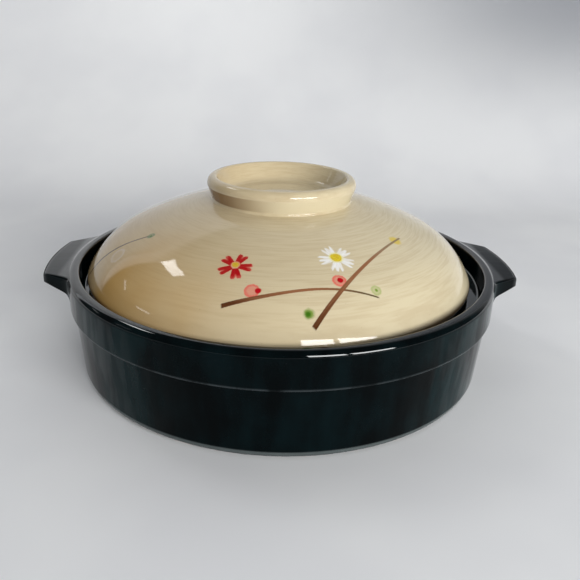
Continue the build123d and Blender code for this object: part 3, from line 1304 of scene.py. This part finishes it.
@dataclass
class Lid:
    """Domed lid with its vent and its ring knob. Sizes in millimetres."""

    dome: DomeShape = field(default_factory=DomeShape)
    seat_height: float = 53.0
    edge_centre: Point = (116.5, 58.0)
    edge_radius: float = 5.0
    thickness: float = 6.0
    inner_shoulder: float = 42.0
    mouth_radius: float = 112.5
    mouth_rounding: float = 0.8
    vent_offset: float = 80.0
    vent_radius: float = 4.0
    vent_rounding: float = 0.8
    vent_steps: int = 40
    vent_slack: float = 0.02
    knob_crest: float = 117.518
    knob_outer: float = 46.5
    knob_inner: float = 40.6
    knob_toe: float = 28.0
    knob_waist: float = 2.9
    knob_flare: float = 0.9
    knob_bead: float = 5.2
    knob_sunk: float = 0.5
    knob_steps: int = 8
    steps: int = 224
    crown_steps: int = 40
    shoulder_steps: int = 18
    edge_steps: int = 12
    inside_steps: int = 30
    round_steps: int = 4

    def build(self, finish: LidGlaze) -> None:
        """Build and dress the dome and the knob.

        Args:
            finish: the cream glaze.
        """
        glaze = finish.material()
        dome = turn_outline("glazed_lid", self.dome_outline(), self.steps, self.dome.axis_x)
        self.pierce_vent(dome)
        dress(dome, glaze, Body.LID, Slot.LID_GLAZE, "lid_dome")
        knob = turn_outline("glazed_ring_knob", self.knob_outline(), self.steps, self.dome.axis_x)
        dress(knob, glaze, Body.LID, Slot.LID_GLAZE, "lid_knob")

    def dome_outline(self) -> list[Point]:
        """Outline of the dome from the top of its crown round its rim to the middle of its inside.

        Returns:
            The points of the outline.
        """
        shape = self.dome
        up = math.pi / 2
        crown_angle = math.acos(shape.crown_end / shape.crown_radius)
        edge_reach = shape.edge_start - shape.shoulder_centre[0]
        edge_angle = math.acos(edge_reach / shape.shoulder_radius)
        inner_crown = shape.crown_radius - self.thickness
        across = self.mouth_radius - self.inner_shoulder
        rise = math.sqrt((inner_crown - self.inner_shoulder) ** 2 - across**2)
        inner_centre = (across, shape.crown_centre[1] + rise)
        inner_angle = math.atan2(rise, across)
        mouth_rise = self.seat_height + self.mouth_rounding - inner_centre[1]
        mouth_angle = math.asin(mouth_rise / self.inner_shoulder)
        steps = self.shoulder_steps
        outer, inner = shape.shoulder_radius, self.inner_shoulder
        crown = arc_points(
            shape.crown_centre, shape.crown_radius, up, crown_angle, self.crown_steps
        )
        shoulder = arc_points(shape.shoulder_centre, outer, crown_angle, edge_angle, steps)
        edge = arc_points(self.edge_centre, self.edge_radius, edge_angle, -up, self.edge_steps)
        inner_shoulder = arc_points(inner_centre, inner, mouth_angle, inner_angle, steps)
        inside = arc_points(shape.crown_centre, inner_crown, inner_angle, up, self.inside_steps)
        mouth = (inner_shoulder[0][0] + self.mouth_rounding, self.seat_height)
        return crown[:-1] + shoulder[:-1] + edge + [mouth] + inner_shoulder[:-1] + inside

    def pierce_vent(self, dome: bpy.types.Object) -> None:
        """Cut the steam vent through the dome and round its mouths.

        Args:
            dome: the turned dome.
        """
        clear_selection()
        axis = Vector((self.dome.axis_x, self.vent_offset))
        middle = Vector((*axis, self.seat_height + self.vent_offset / 2))
        bpy.ops.mesh.primitive_cylinder_add(
            vertices=self.vent_steps,
            radius=self.vent_radius * MM,
            depth=self.vent_offset * MM,
            location=middle * MM,
        )
        cutter = bpy.context.active_object
        cut = dome.modifiers.new("vent", "BOOLEAN")
        cut.object = cutter
        cut.operation = "DIFFERENCE"
        cut.solver = "EXACT"
        clear_selection()
        dome.select_set(True)
        bpy.context.view_layer.objects.active = dome
        bpy.ops.object.modifier_apply(modifier=cut.name)
        bpy.data.objects.remove(cutter)
        select_edges(dome, self._vent_mouths(dome, axis * MM))
        with editing():
            bpy.ops.mesh.bevel(offset=self.vent_rounding * MM, segments=self.round_steps)

    def _vent_mouths(self, dome: bpy.types.Object, axis: Vector) -> list[bool]:
        """Which edges run round the vent's two mouths.

        Args:
            dome: the pierced dome.
            axis: place of the vent's axis, in metres.

        Returns:
            One value for each edge, true between the vent's wall and a face of the dome.
        """
        mesh = dome.data
        reach = (self.vent_radius + self.vent_slack) * MM
        near = [(vertex.co.xy - axis).length < reach for vertex in mesh.vertices]
        walls: dict[tuple[int, int], int] = {}
        for polygon in mesh.polygons:
            inside = all(near[index] for index in polygon.vertices)
            for key in polygon.edge_keys:
                walls[key] = walls.get(key, 0) + inside
        return [
            all(near[index] for index in edge.vertices) and walls[edge.key] == 1
            for edge in mesh.edges
        ]

    def knob_outline(self) -> list[Point]:
        """Outline of the ring knob, closed where it sits in the crown.

        Returns:
            The points of the outline.
        """
        inner, outer, crest, toe = self.knob_inner, self.knob_outer, self.knob_crest, self.knob_toe
        waist = outer - self.knob_waist
        foot = waist + self.knob_flare
        ground = self.dome.height(foot)
        floor = self.dome.height(toe) - 0.15
        corners = (
            Corner(toe - 0.4, floor - self.knob_sunk),
            Corner(toe, floor, 0.1),
            Corner(inner - 5.4, floor - 0.2, 6.0),
            Corner(inner + 0.2, crest, 1.6),
            Corner(outer, crest, 4.2),
            Corner(outer, crest - self.knob_bead, 1.7),
            Corner(waist, ground + 1.2, 1.6),
            Corner(foot + 0.2, ground - self.knob_sunk),
        )
        outline = rounded_outline(corners, self.knob_steps, 0.2)
        return outline + [outline[0]]


# Studio


def rolled(right: Vector, up: Vector, angle: float) -> tuple[Vector, Vector]:
    """Turn the right and up directions about the axis that both stand on.

    Args:
        right: unit vector to the right.
        up: unit vector upwards.
        angle: the turn, in radians.

    Returns:
        Both directions, turned.
    """
    cos, sin = math.cos(angle), math.sin(angle)
    return right * cos + up * sin, up * cos - right * sin


def standing(place: Vector, right: Vector, up: Vector) -> Matrix:
    """Matrix of a lamp or camera at a place, from its right and up directions."""
    turn = Matrix((right, up, right.cross(up))).transposed().to_4x4()
    return Matrix.Translation(place) @ turn


@dataclass(frozen=True)
class Lamp:
    """A bright rectangle on a plane, its sides given as slopes from the plane's normal."""

    name: str
    azimuth: float
    elevation: float
    across: Point
    upward: Point
    radiance: float
    target: tuple[float, float, float]
    turn: float = 0.0
    distance: float = 1.5

    def hang(self) -> None:
        """Hang the lamp on its plane, facing along the plane's normal."""
        azimuth, elevation = math.radians(self.azimuth), math.radians(self.elevation)
        level = math.cos(elevation)
        away = Vector((math.cos(azimuth) * level, math.sin(azimuth) * level, math.sin(elevation)))
        right = Vector((-math.sin(azimuth), math.cos(azimuth), 0.0))
        right, up = rolled(right, away.cross(right), math.radians(self.turn))
        data = bpy.data.lights.new(self.name, "AREA")
        data.shape = "RECTANGLE"
        data.size = self.distance * (self.across[1] - self.across[0])
        data.size_y = self.distance * (self.upward[1] - self.upward[0])
        data.energy = self.radiance * math.pi * data.size * data.size_y
        middle = away + right * (sum(self.across) / 2) + up * (sum(self.upward) / 2)
        lamp = bpy.data.objects.new(self.name, data)
        lamp.matrix_world = standing(Vector(self.target) + middle * self.distance, right, up)
        lamp.visible_camera = False
        bpy.context.scene.collection.objects.link(lamp)


RIM_FRONT = (0.012, -0.118, 0.062)


@dataclass(frozen=True)
class Studio:
    """Pale ground, soft room light, windows and the camera."""

    lamps: tuple[Lamp, ...] = (
        Lamp("window_near", -88.0, 0.0, (0.150, 0.525), (0.22, 0.610), 17.0, RIM_FRONT),
        Lamp("window_far", -88.0, 0.0, (0.595, 1.290), (0.22, 0.610), 17.0, RIM_FRONT),
        Lamp(
            "window_behind", 140.0, 48.5, (-0.140, 0.140), (-0.048, 0.048), 8.5,
            (-0.062, -0.077, 0.084), 35.0,
        ),
        Lamp(
            "glint_high", 158.0, 22.0, (-0.070, 0.070), (-0.010, 0.010), 3.2,
            (-0.087, -0.0735, 0.0726), -20.0,
        ),
        Lamp(
            "glint_low", -177.0, 21.0, (-0.085, 0.085), (-0.011, 0.011), 3.4,
            (-0.076, -0.091, 0.067), 13.0,
        ),
    )
    sky: Colour = (0.76, 0.775, 0.80, 1.0)
    cloth: Colour = (0.96, 0.98, 1.00, 1.0)
    wall: Colour = (0.62, 0.63, 0.65, 1.0)
    room: Colour = (0.20, 0.20, 0.21, 1.0)
    gloom: Colour = (0.035, 0.035, 0.036, 1.0)
    backdrop: Colour = (0.62, 0.63, 0.65, 1.0)
    ground_width: float = 2.5
    ground_front: float = -1.45
    ground_back: float = 0.62
    sweep_height: float = 0.75
    sweep_taper: float = 0.42
    sweep_radius: float = 0.30
    sweep_steps: int = 24
    camera_place: tuple[float, float, float] = (-0.01787, -0.39595, 0.20551)
    camera_turn: float = 0.0586
    camera_dip: float = 0.3958
    camera_roll: float = 0.0315
    camera_lens: float = 39.72
    camera_film: float = 36.0
    camera_near: float = 0.01

    def build(self, finish: PaleCloth) -> None:
        """Lay the ground, hang the lamps, light the room and set the camera.

        Args:
            finish: the ground's finish.
        """
        self.lay_ground(finish.material())
        for lamp in self.lamps:
            lamp.hang()
        self.light_room()
        self.set_camera()

    def lay_ground(self, finish: bpy.types.Material) -> None:
        """Lay the floor and draw its back edge up into a sweep.

        Args:
            finish: the ground's material.
        """
        clear_selection()
        bpy.ops.mesh.primitive_plane_add(size=1.0)
        ground = bpy.context.active_object
        ground.name = ground.data.name = "pale_ground"
        depth = self.ground_back - self.ground_front
        middle = (self.ground_back + self.ground_front) / 2
        with editing():
            bpy.ops.transform.resize(value=(self.ground_width, depth, 1.0))
            bpy.ops.transform.translate(value=(0.0, middle, 0.0))
        select_edges(ground, self._edges_at_back(ground))
        with editing():
            rise = {"value": (0.0, 0.0, self.sweep_height)}
            bpy.ops.mesh.extrude_region_move(TRANSFORM_OT_translate=rise)
            taper = (self.sweep_taper, 1.0, 1.0)
            bpy.ops.transform.resize(value=taper, center_override=(0.0, 0.0, 0.0))
        select_edges(ground, self._edges_at_back(ground))
        with editing():
            bpy.ops.mesh.bevel(offset=self.sweep_radius, segments=self.sweep_steps)
        bpy.ops.object.shade_smooth()
        ground.data.materials.append(finish)

    def _edges_at_back(self, ground: bpy.types.Object) -> list[bool]:
        """Which edges run along the back of the floor.

        Args:
            ground: the floor, with or without its sweep.

        Returns:
            One value for each edge.
        """
        corner = [
            abs(vertex.co.y - self.ground_back) < MM and abs(vertex.co.z) < MM
            for vertex in ground.data.vertices
        ]
        return [all(corner[index] for index in edge.vertices) for edge in ground.data.edges]

    def light_room(self) -> None:
        """Light the room softly, dim on the camera's side, with a pale backdrop.

        Lit faces see the room. Reflections see a dark room with a pale cloth at the left and a
        soft wall at the right, and the camera sees the backdrop.
        """
        world = bpy.data.worlds.new("room")
        bpy.context.scene.world = world
        graph = Graph(world)
        to_right, to_back, to_top = graph.separate(graph.read("TexCoord", output="Generated"))
        bright = (to_back + to_top * 0.20 + to_right * 0.15).ramp(0.05, 0.85)
        lit = graph.mix(bright, self.room, self.sky)
        at_cloth = to_back.ramp(0.51, 0.56) * to_top.ramp(0.72, 0.60)
        crisp = graph.mix(at_cloth, self.gloom, self.cloth)
        soft = graph.mix(to_back.ramp(0.30, 0.85), self.gloom, self.wall)
        mirrored = graph.mix(to_right.ramp(0.0, -0.25), soft, crisp)
        lit = graph.mix(graph.read("LightPath", output="Is Glossy Ray"), lit, mirrored)
        seen = graph.mix(graph.read("LightPath", output="Is Camera Ray"), lit, self.backdrop)
        shader = graph.read("Background", None, {"Color": seen, "Strength": 1.0})
        graph.node("OutputWorld", None, {"Surface": shader})

    def set_camera(self) -> None:
        """Put the camera at the photograph's angle."""
        level = math.cos(self.camera_dip)
        right = Vector((math.cos(self.camera_turn), -math.sin(self.camera_turn), 0.0))
        ahead = Vector((0.0, 0.0, 1.0)).cross(right) * level
        ahead -= Vector((0.0, 0.0, math.sin(self.camera_dip)))
        right, up = rolled(right, right.cross(ahead), self.camera_roll)
        data = bpy.data.cameras.new("camera")
        data.lens = self.camera_lens
        data.sensor_width = self.camera_film
        data.clip_start = self.camera_near
        camera = bpy.data.objects.new("camera", data)
        bpy.context.scene.collection.objects.link(camera)
        camera.matrix_world = standing(Vector(self.camera_place), right, up)
        bpy.context.scene.camera = camera


def main() -> None:
    """Build the pot, the lid and the studio in order."""
    logging.basicConfig(level=logging.INFO, format="%(message)s")
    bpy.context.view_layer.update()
    bpy.context.scene.view_settings.view_transform = "Standard"
    Pot().build(PotGlaze())
    Lid().build(LidGlaze())
    Studio().build(PaleCloth())


if __name__ == "__main__":
    main()
